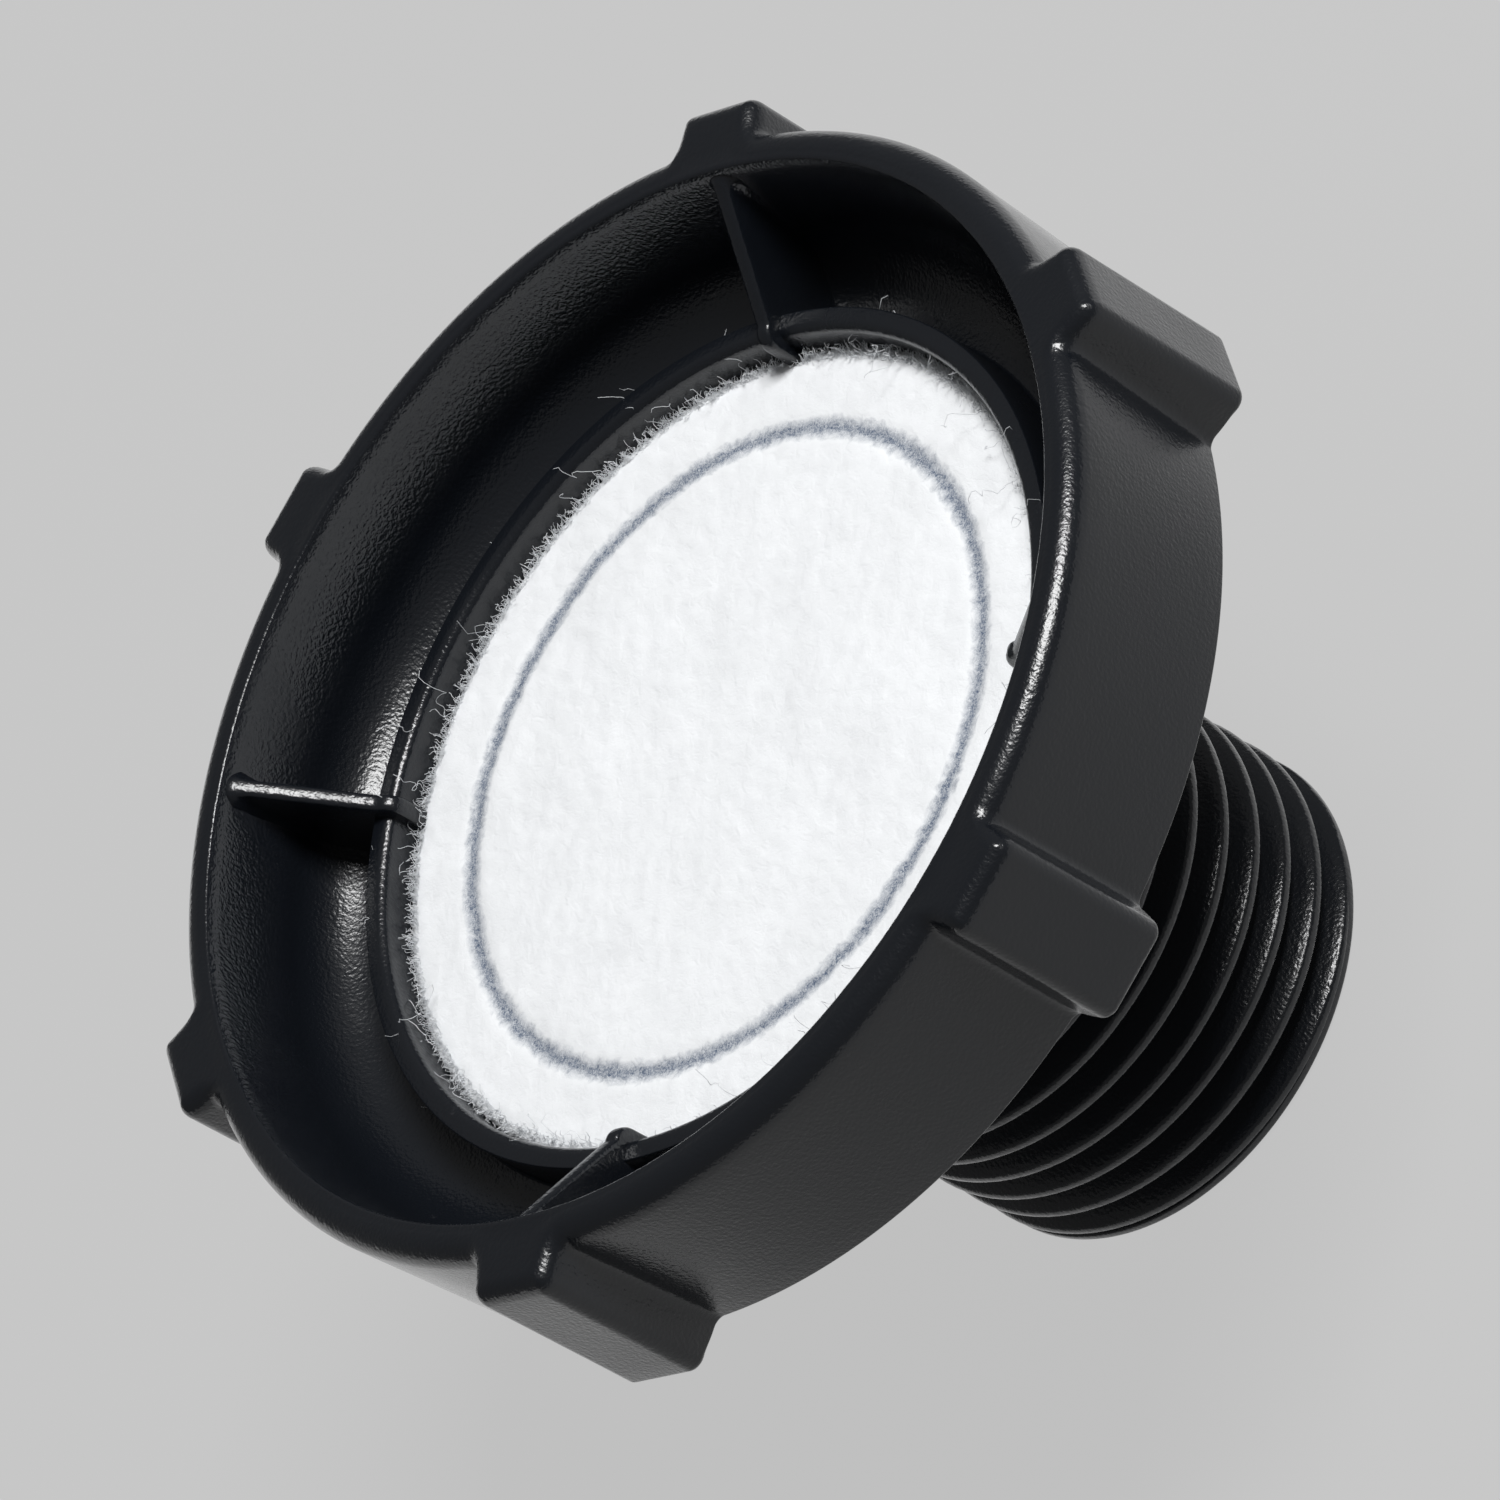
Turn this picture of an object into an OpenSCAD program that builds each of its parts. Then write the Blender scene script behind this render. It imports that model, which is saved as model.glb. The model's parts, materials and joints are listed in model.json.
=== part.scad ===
// Pneumatic exhaust muffler: a threaded plastic cup that holds a stack of felt.
// The axis is Z. The stem's end is at z = 0 and the open mouth faces +Z.

/* [Thread] */
// Outside diameter of the pipe thread, G 1/2
thread_d = 20.955; // [20.8:0.005:21]
// Pitch of the thread
thread_pitch = 1.814; // [1.7:0.001:2]
// Depth of the thread
thread_depth = 1.16; // [0.9:0.01:1.2]
// Length of the threaded stretch
thread_len = 13.6; // [10:0.1:13.8]
// Height of the shoulder that meets the port
shoulder_z = 14.9; // [14.6:0.1:15.2]
// Diameter of the shoulder's face
shoulder_d = 27; // [26:0.1:28]
// Diameter of the plain band between the thread and the shoulder
band_d = 21.5; // [21.4:0.1:22]
// Diameter of the hole through the stem
bore_d = 15; // [12:0.5:15.5]
// Chamfer at the stem's end
stem_chamfer = 0.5; // [0.2:0.1:1]
// Height of the plain ring that the thread leaves at the stem's end
end_ring_h = 0.6; // [0.3:0.1:1]

/* [Cup] */
// Overall height, from the stem's end to the rim
total_h = 31.1; // [30.9:0.1:31.6]
// Diameter of the sharp inner edge of the rim
mouth_d = 44; // [43.6:0.1:44.4]
// Outside diameter of the wall at the rim
wall_front_d = 46.8; // [46.4:0.1:47.2]
// Outside diameter of the wall at its back edge
wall_rear_d = 45.2; // [45:0.1:46]
// Length of the outer wall along the axis
wall_len = 9.3; // [9:0.1:10]
// Radius of the rim's outer edge
rim_round = 0.9; // [0.5:0.1:1]
// Depth of the channel's floor below the rim
floor_depth = 7.2; // [6.8:0.1:7.4]
// Radius that blends the wall into the channel's floor
bowl_round = 3.1; // [2:0.1:3.2]
// Draft of the wall's inner face, from the rim to the blend
wall_draft = 0.4; // [0:0.1:0.6]

/* [Grip lugs] */
// Number of lugs around the wall
lugs = 6; // [3:1:8]
// Diameter across the lugs
lug_d = 49.5; // [48.5:0.1:50.5]
// Width across the top of a lug
lug_top_w = 4.1; // [3:0.1:4.5]
// Width across the root of a lug
lug_root_w = 4.9; // [4.6:0.1:6]
// Radius of a lug's corners
lug_round = 0.6; // [0.3:0.1:0.8]

/* [Collar and ribs] */
// Outside diameter of the collar around the felt
collar_d = 35.8; // [35.4:0.1:36]
// Inside diameter of the collar and of the felt's seat
seat_d = 33.9; // [33.8:0.1:34]
// Depth of the collar's ledge below the rim
collar_depth = 4.7; // [4.5:0.1:4.9]
// Number of ribs between the wall and the collar
ribs = 4; // [2:1:6]
// Angle of the first rib
rib_angle = 30; // [0:1:90]
// Thickness of a rib
rib_t = 0.8; // [0.6:0.1:1.2]
// Distance of a rib's nose from the axis
nose_r = 16.3; // [16:0.1:16.6]
// Depth of a rib's shoulder below the rim
nose_depth = 4.1; // [3.9:0.1:4.2]
// Radius of a rib's nose
nose_round = 0.8; // [0.4:0.1:1]

/* [Felt stack] */
// Diameter of both felt discs
felt_d = 33.7; // [33:0.1:33.7]
// Depth of the front felt's face below the rim
felt_depth = 5.95; // [5.8:0.05:6.1]
// Thickness of the dense front felt
front_felt_t = 3; // [2.8:0.1:3.2]
// Thickness of the open rear felt
rear_felt_t = 2.4; // [2.2:0.1:2.6]
// Diameter of the pressed ring on the front felt
mark_d = 27; // [24:0.1:29]
// Width of the pressed ring
mark_w = 0.7; // [0.4:0.1:1]
// Depth of the pressed ring
mark_depth = 0.15; // [0.1:0.05:0.3]

/* [Support grid] */
// Diameter of the grid
grid_d = 33.7; // [33:0.1:33.7]
// Thickness of the grid
grid_t = 1.2; // [1:0.1:1.4]
// Diameter of one hole
hole_d = 2.6; // [2:0.1:3]
// Distance between neighbouring holes
hole_pitch = 3.9; // [3.6:0.1:4.4]

/* [Hidden] */
$fn = 96;
eps = 0.05;

// Heights
rim_z = total_h;
wall_rear_z = rim_z - wall_len;
floor_z = rim_z - floor_depth;
collar_z = rim_z - collar_depth;
felt_z = rim_z - felt_depth;
rear_felt_z = felt_z - front_felt_t - rear_felt_t;
grid_z = rear_felt_z - grid_t;

// Collar: a flat ledge with its inner edge taken off
collar_bevel = 0.4;

// Hub behind the cup, and the plenum inside it
hub_d = 36.6;
hub_z = 18.7;
plenum_d = 30;
plenum_bottom_z = shoulder_z - 0.9;

// Thread groove, with the 55 degree form of a pipe thread
// It starts below the stem, is opened above the end ring and runs out past the thread
flank_angle = 27.5;
steps_per_turn = 36;
root_half_w = 0.15;
root_r = thread_d / 2 - thread_depth;
groove_r = thread_d / 2 + eps;
groove_half_w = root_half_w + (groove_r - root_r) * tan(flank_angle);
groove_start_z = -2;
groove_end_z = thread_len + 0.55;
groove_steps = ceil((groove_end_z - groove_start_z) / thread_pitch * steps_per_turn);

// Grip lugs: the flank leans in from root to top
lug_root_r = wall_rear_d / 2 - 0.4;
lug_h = lug_d / 2 - lug_root_r;
lug_lean = atan((lug_root_w - lug_top_w) / 2 / lug_h);
corner_cut = lug_round * tan(45 - lug_lean / 2);
round_over = 0.01; // makes the corner's arc cross the leaning flank instead of grazing it

// Grid of holes: rings of a hexagonal pattern
hole_rings = floor((plenum_d - hole_d) / 2 / hole_pitch);

// Four corners of the groove after a number of steps round the stem
function groove_section(i) =
    let (a = 360 * i / steps_per_turn, z = groove_start_z + thread_pitch * i / steps_per_turn)
    [for (p = [
        [root_r, -root_half_w],
        [groove_r, -groove_half_w],
        [groove_r, groove_half_w],
        [root_r, root_half_w]
    ]) [p[0] * cos(a), p[0] * sin(a), z + p[1]]];

module thread_groove() {
    points = [for (i = [0:groove_steps]) each groove_section(i)];
    last = 4 * groove_steps;
    sides = [
        for (i = [0:groove_steps - 1], k = [0:3])
        let (a = 4 * i + k, b = 4 * i + (k + 1) % 4)
        each [[a, b, b + 4], [a, b + 4, a + 4]]
    ];
    ends = [[3, 2, 1, 0], [last, last + 1, last + 2, last + 3]];
    polyhedron(points, concat(ends, sides), convexity = 10);
}

// The part of the groove above the plain ring
module open_groove() {
    difference() {
        thread_groove();
        translate([0, 0, groove_start_z - thread_pitch])
            cylinder(d = 2 * thread_d, h = end_ring_h - groove_start_z + thread_pitch);
    }
}

// Stem: a chamfered cylinder with the thread cut into it, and the plain band above
module threaded_stem() {
    difference() {
        rotate_extrude()
            polygon([
                [0, 0],
                [thread_d / 2 - stem_chamfer, 0],
                [thread_d / 2, stem_chamfer],
                [thread_d / 2, thread_len],
                [0, thread_len]
            ]);
        open_groove();
    }
    translate([0, 0, thread_len])
        cylinder(d = band_d, h = shoulder_z - thread_len + eps);
}

// Solid outline of the cup's wall and of the hub behind it
module cup_outline() {
    polygon([
        [0, wall_rear_z - eps],
        [wall_rear_d / 2, wall_rear_z - eps],
        [wall_rear_d / 2, wall_rear_z],
        [wall_front_d / 2, rim_z - rim_round],
        [wall_front_d / 2 - rim_round, rim_z],
        [0, rim_z]
    ]);
    translate([wall_front_d / 2 - rim_round, rim_z - rim_round])
        circle(r = rim_round);
    polygon([
        [0, shoulder_z],
        [shoulder_d / 2, shoulder_z],
        [hub_d / 2, hub_z],
        [hub_d / 2, wall_rear_z],
        [0, wall_rear_z]
    ]);
}

// Everything that is open inside: bowl, felt chamber, plenum and bore
module hollow_outline() {
    blend_r = mouth_d / 2 - wall_draft;
    blend_z = floor_z + bowl_round;
    polygon([
        [0, rim_z + 1],
        [mouth_d / 2, rim_z + 1],
        [mouth_d / 2, rim_z],
        [blend_r, blend_z],
        [blend_r - bowl_round, blend_z],
        [blend_r - bowl_round, floor_z],
        [collar_d / 2, floor_z],
        [collar_d / 2, collar_z],
        [seat_d / 2 + collar_bevel, collar_z],
        [seat_d / 2, collar_z - collar_bevel],
        [seat_d / 2, grid_z],
        [plenum_d / 2, grid_z],
        [bore_d / 2, plenum_bottom_z],
        [bore_d / 2, -1],
        [0, -1]
    ]);
    translate([blend_r - bowl_round, blend_z])
        intersection() {
            circle(r = bowl_round);
            translate([-eps, -bowl_round - eps])
                square(bowl_round + 2 * eps);
        }
}

// One lug, drawn along +X and as long as the wall
module grip_lug() {
    top = lug_d / 2;
    half_top = lug_top_w / 2;
    half_root = lug_root_w / 2;
    translate([0, 0, wall_rear_z])
        linear_extrude(wall_len) {
            polygon([
                [lug_root_r, -half_root],
                [top - corner_cut * cos(lug_lean), -half_top - corner_cut * sin(lug_lean)],
                [top, -half_top + corner_cut],
                [top, half_top - corner_cut],
                [top - corner_cut * cos(lug_lean), half_top + corner_cut * sin(lug_lean)],
                [lug_root_r, half_root]
            ]);
            for (side = [-1, 1])
                translate([top - lug_round - round_over, side * (half_top - corner_cut)])
                    circle(r = lug_round + round_over);
        }
}

// One rib, drawn in the XZ plane: a gusset with a nose that hooks over the felt
module retaining_rib() {
    wall_in = 0.3;
    slope_end_r = nose_r + nose_round;
    rotate([90, 0, 0])
        linear_extrude(rib_t, center = true) {
            polygon([
                [mouth_d / 2 + wall_in, rim_z - 0.1],
                [mouth_d / 2, rim_z - 0.2],
                [slope_end_r, rim_z - nose_depth],
                [nose_r, rim_z - nose_depth - nose_round],
                [nose_r, felt_z],
                [seat_d / 2 + wall_in, felt_z],
                [seat_d / 2 + wall_in, floor_z - wall_in],
                [mouth_d / 2 + wall_in, floor_z - wall_in]
            ]);
            translate([slope_end_r, rim_z - nose_depth - nose_round])
                circle(r = nose_round);
        }
}

// Black moulding: cup, lugs, ribs, collar, felt chamber and threaded stem
module housing() {
    color("#26282c") {
        difference() {
            union() {
                rotate_extrude() cup_outline();
                threaded_stem();
                for (i = [0:lugs - 1])
                    rotate([0, 0, i * 360 / lugs]) grip_lug();
            }
            rotate_extrude() hollow_outline();
        }
        for (i = [0:ribs - 1])
            rotate([0, 0, rib_angle + i * 360 / ribs]) retaining_rib();
    }
}

// White felt disc that closes the chamber, with a pressed ring on its face
module front_felt() {
    color("#f1f3f4")
        translate([0, 0, felt_z - front_felt_t])
            difference() {
                cylinder(d = felt_d, h = front_felt_t);
                rotate_extrude()
                    translate([(mark_d - mark_w) / 2, front_felt_t - mark_depth])
                        square([mark_w, 1]);
            }
}

// Coarser felt disc behind the white one
module rear_felt() {
    color("#c9cbc8")
        translate([0, 0, rear_felt_z])
            cylinder(d = felt_d, h = rear_felt_t);
}

// Drilled disc that carries the felt over the plenum
module support_grid() {
    color("#3a3d40")
        translate([0, 0, grid_z])
            difference() {
                cylinder(d = grid_d, h = grid_t);
                for (i = [-hole_rings:hole_rings], j = [-hole_rings:hole_rings])
                    if (abs(i + j) <= hole_rings)
                        translate([hole_pitch * (i + j / 2), hole_pitch * j * sqrt(3) / 2, -1])
                            cylinder(d = hole_d, h = grid_t + 2);
            }
}

housing();
front_felt();
rear_felt();
support_grid();
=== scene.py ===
import json
import math

import bpy
import numpy as np
from mathutils import Matrix, Vector, noise


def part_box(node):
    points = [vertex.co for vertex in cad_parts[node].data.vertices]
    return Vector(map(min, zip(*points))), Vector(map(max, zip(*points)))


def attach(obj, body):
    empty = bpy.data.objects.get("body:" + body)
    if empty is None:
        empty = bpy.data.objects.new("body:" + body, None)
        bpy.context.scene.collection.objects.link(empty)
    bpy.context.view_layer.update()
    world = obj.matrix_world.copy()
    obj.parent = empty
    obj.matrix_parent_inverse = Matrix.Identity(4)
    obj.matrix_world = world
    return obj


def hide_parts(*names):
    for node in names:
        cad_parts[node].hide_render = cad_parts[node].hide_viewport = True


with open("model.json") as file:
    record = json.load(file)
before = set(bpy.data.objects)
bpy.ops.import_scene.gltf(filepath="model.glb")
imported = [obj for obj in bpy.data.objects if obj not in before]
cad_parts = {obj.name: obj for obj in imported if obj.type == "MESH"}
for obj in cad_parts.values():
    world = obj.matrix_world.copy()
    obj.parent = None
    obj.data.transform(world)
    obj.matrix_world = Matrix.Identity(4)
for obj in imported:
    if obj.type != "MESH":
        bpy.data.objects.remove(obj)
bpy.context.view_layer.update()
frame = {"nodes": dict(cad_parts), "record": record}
scene = bpy.context.scene


# Camera. A long lens close to the axis of the cup, looking down into the open mouth,
# and turned about its own axis so that the stem points to the lower right.

MM = 0.001
camera_aim = Vector((3.54, 0.43, 26.52)) * MM
camera_distance = 438.7 * MM
camera_elevation = math.radians(37.67)
camera_roll = math.radians(-60.13)

camera_data = bpy.data.cameras.new("camera")
camera_data.sensor_width = 36.0
camera_data.lens = 277.7
camera_data.clip_start = 0.01
camera_data.clip_end = 20.0
camera = bpy.data.objects.new("camera", camera_data)
scene.collection.objects.link(camera)
towards_camera = Vector((math.cos(camera_elevation), 0.0, math.sin(camera_elevation)))
level_right = Vector((0.0, 1.0, 0.0))
level_up = towards_camera.cross(level_right)
turn = Matrix((level_right, level_up, towards_camera)).transposed().to_4x4()
camera.matrix_world = (
    Matrix.Translation(camera_aim + towards_camera * camera_distance)
    @ turn
    @ Matrix.Rotation(camera_roll, 4, "Z")
)
scene.camera = camera
scene.view_settings.view_transform = "Standard"
picture_right = Vector(camera.matrix_world.col[0][:3])
picture_up = Vector(camera.matrix_world.col[1][:3])


# Cup shell. One injection moulding in black glass-filled nylon: the wall with its six grip
# lugs, the bowl, the collar round the felt, the felt chamber and the hub behind the cup.
# It is swept round the axis, and the lugs come from one outline that every ring follows.

housing_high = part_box("housing")[1]
felt_low, felt_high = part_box("front_felt")
grid_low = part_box("support_grid")[0]
mounts = {m["name"]: m for m in frame["record"]["mounts"]}
rim_z = housing_high.z / MM
felt_z = felt_high.z / MM
grid_z = grid_low.z / MM
shoulder_z = mounts["shoulder"]["pos_m"][2] / MM

# Not quite the CAD node's sizes: the wall and lugs have a slightly larger radius here, the wall is
# shorter, and the lugs are narrower and turned a little. The lip is a fine, slightly uneven bead
# along the rim's inner edge.
MOUTH_R = 22.0
WALL_FRONT_R = 23.5
WALL_REAR_R = 23.15
WALL_LEN = 8.8
RIM_ROUND = 0.95
REAR_ROUND = 0.12
LIP_ROUND = 0.13
LIP_RISE = 0.04
LIP_BURR = 0.012
LAND_START_R = MOUTH_R + 0.32

LUGS = 6
LUG_TURN_DEG = 0.8
LUG_ALLOWANCE = 0.4
LUG_TOP_HALF = 1.95
LUG_ROOT_HALF = 2.4
LUG_ROOT_R = 22.2
LUG_CORNER = 0.55
LUG_FILLET = 0.35
LUG_ROUND = 0.8
LUG_REAR_ROUND = 0.35
lug_top_r = housing_high.x / MM + LUG_ALLOWANCE

BOWL_ROUND = 3.1
WALL_DRAFT = 0.4
FLOOR_DEPTH = 7.2
COLLAR_R = 17.9
SEAT_R = 16.95
COLLAR_DEPTH = 4.7
COLLAR_ROUND = 0.4
PLENUM_R = 15.0
BORE_R = 7.5
HUB_R = 18.3
HUB_Z = 18.7
SHOULDER_R = 13.5
NECK_R = 10.75


def linear(code):
    """An sRGB hex colour as linear RGBA."""
    parts = [int(code[i : i + 2], 16) / 255 for i in (1, 3, 5)]
    return [c / 12.92 if c <= 0.04045 else ((c + 0.055) / 1.055) ** 2.4 for c in parts] + [1.0]


def add(tree, kind, inputs=None, **settings):
    """Adds a node with its settings; an input takes a value or another node's output."""
    made = tree.nodes.new(kind)
    for name, value in settings.items():
        setattr(made, name, value)
    for key, value in (inputs or {}).items():
        if isinstance(value, bpy.types.NodeSocket):
            tree.links.new(value, made.inputs[key])
        else:
            made.inputs[key].default_value = value
    return made


def mapped(tree, value, old, new, **settings):
    """A node that turns the range old of a value into the range new."""
    spans = {"From Min": old[0], "From Max": old[1], "To Min": new[0], "To Max": new[1]}
    return add(tree, "ShaderNodeMapRange", {"Value": value, **spans}, **settings)


def new_material(name):
    """An empty material with its node tree and output."""
    made = bpy.data.materials.new(name)
    made.use_nodes = True
    made.node_tree.nodes.clear()
    return made, made.node_tree, made.node_tree.nodes.new("ShaderNodeOutputMaterial")


def moulded_nylon(name, colour, scuff_colour, roughness):
    """Black nylon from a fine spark-eroded mould: satin, with a grain that only shows as
    sparkle along a highlight, slow gloss variation from the flow, and pale handling marks."""
    grain_mm, flow_mm, scuff_mm = 0.16, 5.0, 1.6
    made, tree, output = new_material(name)
    place = add(tree, "ShaderNodeTexCoord").outputs["Object"]
    grain = add(
        tree,
        "ShaderNodeTexNoise",
        {"Vector": place, "Scale": 1 / (grain_mm * MM), "Detail": 1.0, "Roughness": 0.5},
    )
    flow = add(
        tree,
        "ShaderNodeTexNoise",
        {"Vector": place, "Scale": 1 / (flow_mm * MM), "Detail": 2.0},
    )
    scuff = add(
        tree,
        "ShaderNodeTexNoise",
        {"Vector": place, "Scale": 1 / (scuff_mm * MM), "Detail": 6.0, "Roughness": 0.75},
    )
    marks = mapped(tree, scuff.outputs["Fac"], (0.66, 0.8), (0.0, 0.5))
    shade = add(
        tree,
        "ShaderNodeMix",
        {"Factor": marks.outputs["Result"], 6: linear(colour), 7: linear(scuff_colour)},
        data_type="RGBA",
    )
    gloss = mapped(tree, flow.outputs["Fac"], (0.3, 0.7), (roughness - 0.04, roughness + 0.05))
    bump = add(
        tree,
        "ShaderNodeBump",
        {"Height": grain.outputs["Fac"], "Strength": 1.0, "Distance": 0.022 * MM},
    )
    shader = add(
        tree,
        "ShaderNodeBsdfPrincipled",
        {
            "Base Color": shade.outputs[2],
            "Roughness": gloss.outputs["Result"],
            "IOR": 1.53,
            "Normal": bump.outputs["Normal"],
        },
    )
    tree.links.new(shader.outputs["BSDF"], output.inputs["Surface"])
    return made


black_nylon = moulded_nylon("black_moulded_nylon", "#111419", "#5a5a5c", 0.235)


def lug_columns():
    """Angles of the mesh columns in degrees: close together on the lugs' flanks."""
    offsets = np.concatenate(
        [
            np.arange(-9.0, -7.0, 0.4),
            np.arange(-7.0, -3.2, 0.1),
            np.arange(-3.2, 3.2, 0.64),
            np.arange(3.2, 7.0, 0.1),
            np.arange(7.0, 9.0, 0.4),
            np.arange(9.0, 51.0, 1.0),
        ]
    )
    lug_deg = [LUG_TURN_DEG + 360.0 / LUGS * k for k in range(LUGS)]
    return np.concatenate([middle + offsets for middle in lug_deg]) % 360.0


column_deg = np.unique(np.round(lug_columns(), 3))
column = np.radians(column_deg)
from_lug = np.radians((column_deg - LUG_TURN_DEG + 30.0) % 60.0 - 30.0)


def outline_gap(r, wall_r):
    """Signed distance from the cup's outer outline at radius r of each column."""
    along = r * np.cos(from_lug)
    across = np.abs(r * np.sin(from_lug))
    lean = math.atan((LUG_ROOT_HALF - LUG_TOP_HALF) / (lug_top_r - LUG_ROOT_R))
    flank = LUG_TOP_HALF + (lug_top_r - along) * math.tan(lean)
    past_top = along - (lug_top_r - LUG_CORNER)
    past_flank = (across - flank) * math.cos(lean) + LUG_CORNER
    corner = np.hypot(np.maximum(past_top, 0), np.maximum(past_flank, 0))
    lug = corner + np.minimum(np.maximum(past_top, past_flank), 0) - LUG_CORNER
    wall = r - wall_r
    near = np.hypot(np.maximum(LUG_FILLET - wall, 0), np.maximum(LUG_FILLET - lug, 0))
    return np.maximum(np.minimum(wall, lug), LUG_FILLET) - near


def outline(wall_r, inset):
    """Radius of the outline of each column, moved inwards by inset."""
    inner = np.full(column.shape, wall_r - 1.6)
    outer = np.full(column.shape, lug_top_r + 1.0)
    for _ in range(40):
        middle = (inner + outer) / 2
        outside = outline_gap(middle, wall_r) > -inset
        outer = np.where(outside, middle, outer)
        inner = np.where(outside, inner, middle)
    return (inner + outer) / 2


def arc(centre_r, centre_z, radius, start_deg, end_deg, steps):
    """Points of an arc in the plane through the axis."""
    angles = np.radians(np.linspace(start_deg, end_deg, steps + 1))
    return [(centre_r + radius * math.cos(a), centre_z + radius * math.sin(a)) for a in angles]


def straight(start, end, steps):
    """Points between two ends, without the ends."""
    shares = np.linspace(0, 1, steps + 1)[1:-1]
    return [tuple(np.array(start) + (np.array(end) - np.array(start)) * s) for s in shares]


def swept_mesh(name, rings, angles, material, sharp_deg=None):
    """A closed skin through rings of (r, z), in millimetres, at the given angles."""
    rows, columns = len(rings), len(angles)
    points = np.zeros((rows, columns, 3))
    for i, (r, z) in enumerate(rings):
        points[i, :, 0] = r * np.cos(angles)
        points[i, :, 1] = r * np.sin(angles)
        points[i, :, 2] = z
    faces = []
    for i in range(rows):
        below, above = i * columns, ((i + 1) % rows) * columns
        for j in range(columns):
            k = (j + 1) % columns
            faces.append((below + j, below + k, above + k, above + j))
    made = bpy.data.meshes.new(name)
    made.from_pydata((points.reshape(-1, 3) * MM).tolist(), [], faces)
    made.materials.append(material)
    made.shade_smooth()
    if sharp_deg:
        made.set_sharp_from_angle(angle=math.radians(sharp_deg))
    piece = bpy.data.objects.new(name, made)
    scene.collection.objects.link(piece)
    return piece


def cup_rings():
    """Rings of the cup, from the rim outwards and round to the rim again."""
    front = outline(WALL_FRONT_R, 0.0)
    on_lug = np.clip((front - WALL_FRONT_R) / (lug_top_r - WALL_FRONT_R), 0, 1)
    on_lug = on_lug * on_lug * (3 - 2 * on_lug)
    edge = RIM_ROUND + (LUG_ROUND - RIM_ROUND) * on_lug
    rear_edge = REAR_ROUND + (LUG_REAR_ROUND - REAR_ROUND) * on_lug
    land = outline(WALL_FRONT_R, edge)
    burr = np.array([noise.noise(Vector((a * 170, 0.5, 2.5))) for a in column])
    lip_z = rim_z - LIP_RISE + LIP_BURR * burr
    rings = [(np.full_like(column, MOUTH_R + 0.02), lip_z - 0.03)]
    rings.append((np.full_like(column, MOUTH_R + LIP_ROUND), lip_z + LIP_RISE * 0.7))
    rings.append((np.full_like(column, MOUTH_R + 2 * LIP_ROUND), lip_z))
    for share in (0.35, 0.7, 1.0):
        ring = LAND_START_R + (land - LAND_START_R) * share
        rings.append((ring, np.full_like(column, rim_z)))
    for turn_deg in range(10, 91, 10):
        a = math.radians(turn_deg)
        ring = outline(WALL_FRONT_R, edge * (1 - math.sin(a)))
        rings.append((ring, rim_z - edge * (1 - math.cos(a))))
    for share in np.linspace(0, 1, 9)[1:]:
        wall_r = WALL_FRONT_R + (WALL_REAR_R - WALL_FRONT_R) * share
        height = WALL_LEN - edge - rear_edge
        rings.append((outline(wall_r, 0.0), rim_z - edge - height * share))
    rear_z = rim_z - WALL_LEN
    for turn_deg in (15, 30, 45, 60, 75, 90):
        a = math.radians(turn_deg)
        ring = outline(WALL_REAR_R, rear_edge * (1 - math.cos(a)))
        rings.append((ring, rear_z + rear_edge * (1 - math.sin(a))))
    back = rings[-1][0]
    for share in (0.05, 0.5, 0.95):
        rings.append((back + (HUB_R + 0.8 - back) * share, np.full_like(column, rear_z)))
    behind = arc(HUB_R + 0.8, rear_z - 0.8, 0.8, 90, 180, 5)
    behind += straight((HUB_R, rear_z - 0.8), (HUB_R, HUB_Z), 3)
    behind += arc(HUB_R - 0.3, HUB_Z, 0.3, 0, -35, 3)
    behind += straight((HUB_R - 0.1, HUB_Z - 0.2), (SHOULDER_R, shoulder_z + 0.2), 4)
    behind += arc(SHOULDER_R - 0.2, shoulder_z + 0.2, 0.2, -20, -90, 3)
    behind += [(NECK_R - 0.3, shoulder_z), (NECK_R - 0.32, shoulder_z - 0.02)]
    behind += [(NECK_R - 0.35, shoulder_z - 1.6), (BORE_R, shoulder_z - 1.6)]
    behind += [(BORE_R, shoulder_z - 1.1), (BORE_R, shoulder_z - 0.9), (BORE_R + 0.1, shoulder_z - 0.84)]
    behind += straight((BORE_R + 0.1, shoulder_z - 0.84), (PLENUM_R, grid_z), 4)
    behind += [(PLENUM_R, grid_z - 0.02), (PLENUM_R + 0.02, grid_z), (SEAT_R - 0.02, grid_z)]
    behind += [(SEAT_R, grid_z + 0.02)]
    collar_z = rim_z - COLLAR_DEPTH
    floor_z = rim_z - FLOOR_DEPTH
    behind += straight((SEAT_R, grid_z), (SEAT_R, collar_z - COLLAR_ROUND), 4)
    behind += arc(SEAT_R + COLLAR_ROUND, collar_z - COLLAR_ROUND, COLLAR_ROUND, 180, 90, 8)
    behind += arc(COLLAR_R - 0.07, collar_z - 0.07, 0.07, 90, 0, 4)
    behind += straight((COLLAR_R, collar_z - 0.07), (COLLAR_R, floor_z + 0.15), 3)
    behind += arc(COLLAR_R + 0.15, floor_z + 0.15, 0.15, 180, 270, 4)
    bowl_r = MOUTH_R - WALL_DRAFT - BOWL_ROUND
    behind += arc(bowl_r, floor_z + BOWL_ROUND, BOWL_ROUND, -90, 0, 18)
    top = (MOUTH_R, rim_z - 0.1)
    behind += straight((MOUTH_R - WALL_DRAFT, floor_z + BOWL_ROUND), top, 6) + [top]
    for r, z in behind:
        rings.append((np.full_like(column, r), np.full_like(column, z)))
    return rings


cup = swept_mesh("cup_shell", cup_rings(), column, black_nylon)
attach(cup, "root")
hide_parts("housing")


# Retaining ribs. Four thin gussets of the same moulding, at right angles to each other. Each
# runs down from the wall to a rounded nose that hooks over the felt's edge and holds it.

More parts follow.
